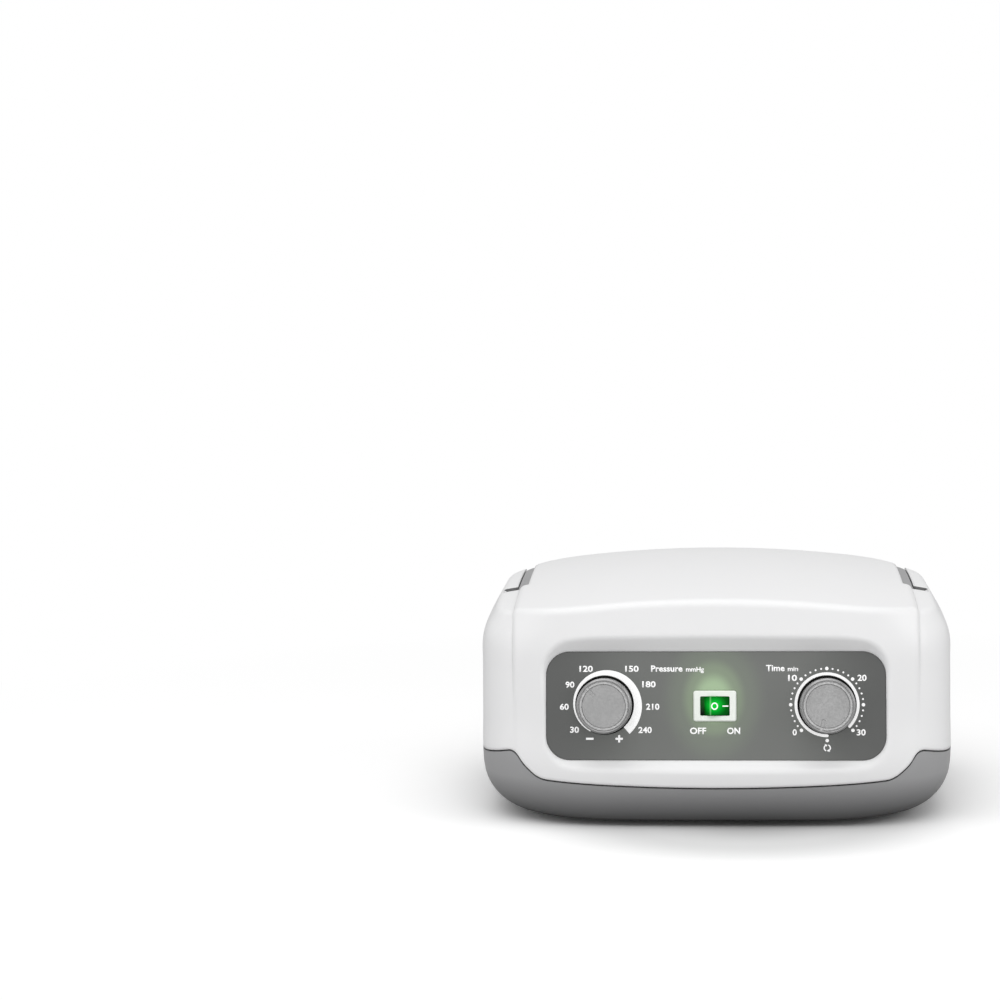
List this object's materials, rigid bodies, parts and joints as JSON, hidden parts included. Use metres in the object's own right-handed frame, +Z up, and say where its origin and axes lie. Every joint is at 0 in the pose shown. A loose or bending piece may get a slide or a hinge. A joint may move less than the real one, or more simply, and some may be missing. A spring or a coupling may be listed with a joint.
{
  "type": "compression therapy pump",
  "caption": "Tabletop air pump for compression sleeves: white housing on a grey base, sunk panel with pressure and time dials and a lit rocker, folding carry handle.",
  "frame": {"origin": "on the table under the middle of the whole pump", "axes": "+Z up, +X to the right of someone facing the panel, front towards -Y"},
  "size_m": [0.2364, 0.1931, 0.1188],
  "materials": {
    "white_shell": "smooth semi-gloss moulded ABS",
    "grey_base": "satin moulded ABS",
    "grey_panel": "flat satin fascia",
    "grey_handle": "satin moulding",
    "silver_knob": "fine-blasted with turned bright edges",
    "silver_cap": "fine-blasted",
    "white_moulding": "smooth",
    "black_moulding": "fine texture",
    "black_rubber": "matt",
    "green_lens": "translucent, lit from behind",
    "lamp": "clear dome",
    "bare_metal": "zinc plated",
    "brass_contact": "tinned",
    "core_iron": "lacquered laminations",
    "copper_coil": "enamelled winding under clear tape",
    "cast_alloy": "die-cast",
    "clear_tube": "translucent silicone",
    "board_green": "solder mask"
  },
  "bodies": {
    "housing": {"upper_housing": "white_shell", "lower_housing": "grey_base", "control_panel": "grey_panel", "rear_panel": "grey_base", "pressure_regulator": "bare_metal", "timer_body": "black_moulding", "timer_terminals": "brass_contact", "bush_nuts": "bare_metal", "switch_bezel": "white_moulding", "switch_body": "black_moulding", "switch_lamp": "lamp", "switch_terminals": "brass_contact", "handle_pins": "bare_metal", "rubber_feet": "black_rubber", "housing_screws": "bare_metal", "hose_sockets": "black_moulding", "outlet_manifold": "white_moulding", "power_inlet": "black_moulding", "inlet_pins": "brass_contact", "fuse_drawer": "black_moulding", "compressor_frame": "bare_metal", "grommets": "black_rubber", "grommet_screws": "bare_metal", "magnet_cores": "core_iron", "magnet_coils": "copper_coil", "pump_heads": "cast_alloy", "head_covers": "cast_alloy", "valve_flaps": "black_rubber", "head_bolts": "bare_metal", "air_reservoir": "white_moulding", "reservoir_saddle": "bare_metal", "distributor_motor": "bare_metal", "distributor_chest": "white_moulding", "distributor_valve": "white_moulding", "distributor_screws": "bare_metal", "chamber_tubes": "clear_tube", "supply_tubes": "clear_tube", "control_board": "board_green", "transformer": "core_iron", "board_components": "black_moulding", "board_screws": "bare_metal"},
    "pressure_dial": {"pressure_knob": "silver_knob", "pressure_knob_cap": "silver_cap", "pressure_spindle": "bare_metal"},
    "timer_dial": {"timer_knob": "silver_knob", "timer_knob_cap": "silver_cap", "timer_spindle": "bare_metal"},
    "rocker": {"power_rocker": "green_lens"},
    "handle": {"carry_handle": "grey_handle"},
    "armature": {"armature_rod": "bare_metal", "armature_magnets": "core_iron", "clamp_discs": "cast_alloy", "diaphragms": "black_rubber", "rod_nuts": "bare_metal"},
    "rotor": {"distributor_rotor": "black_moulding"}
  },
  "joints": [
    {"name": "pressure_turn", "type": "hinge", "parent": "housing", "child": "pressure_dial", "pos_m": [-0.0544, -0.08692, 0.06118], "axis": [0, 0.989, -0.1478], "range_deg": [-92, 178]},
    {"name": "timer_turn", "type": "hinge", "parent": "housing", "child": "timer_dial", "pos_m": [0.0544, -0.08692, 0.06118], "axis": [0, 0.989, -0.1478], "range_deg": [-16, 299]},
    {"name": "power_rock", "type": "hinge", "parent": "housing", "child": "rocker", "pos_m": [-0.0003, -0.07608, 0.05926], "axis": [0, -0.1478, -0.989], "range_deg": [0, 32]},
    {"name": "handle_fold", "type": "hinge", "parent": "housing", "child": "handle", "pos_m": [0, -0.00533, 0.1033], "axis": [1, 0, 0], "range_deg": [0, 95]},
    {"name": "armature_stroke", "type": "slide", "parent": "housing", "child": "armature", "axis": [1, 0, 0], "range_m": [-0.0012, 0.0012], "stiffness_N_per_m": 4000},
    {"name": "distributor_turn", "type": "hinge", "parent": "housing", "child": "rotor", "pos_m": [0.064, 0.00937, 0.036], "axis": [0, 0, 1], "continuous": true}
  ]
}
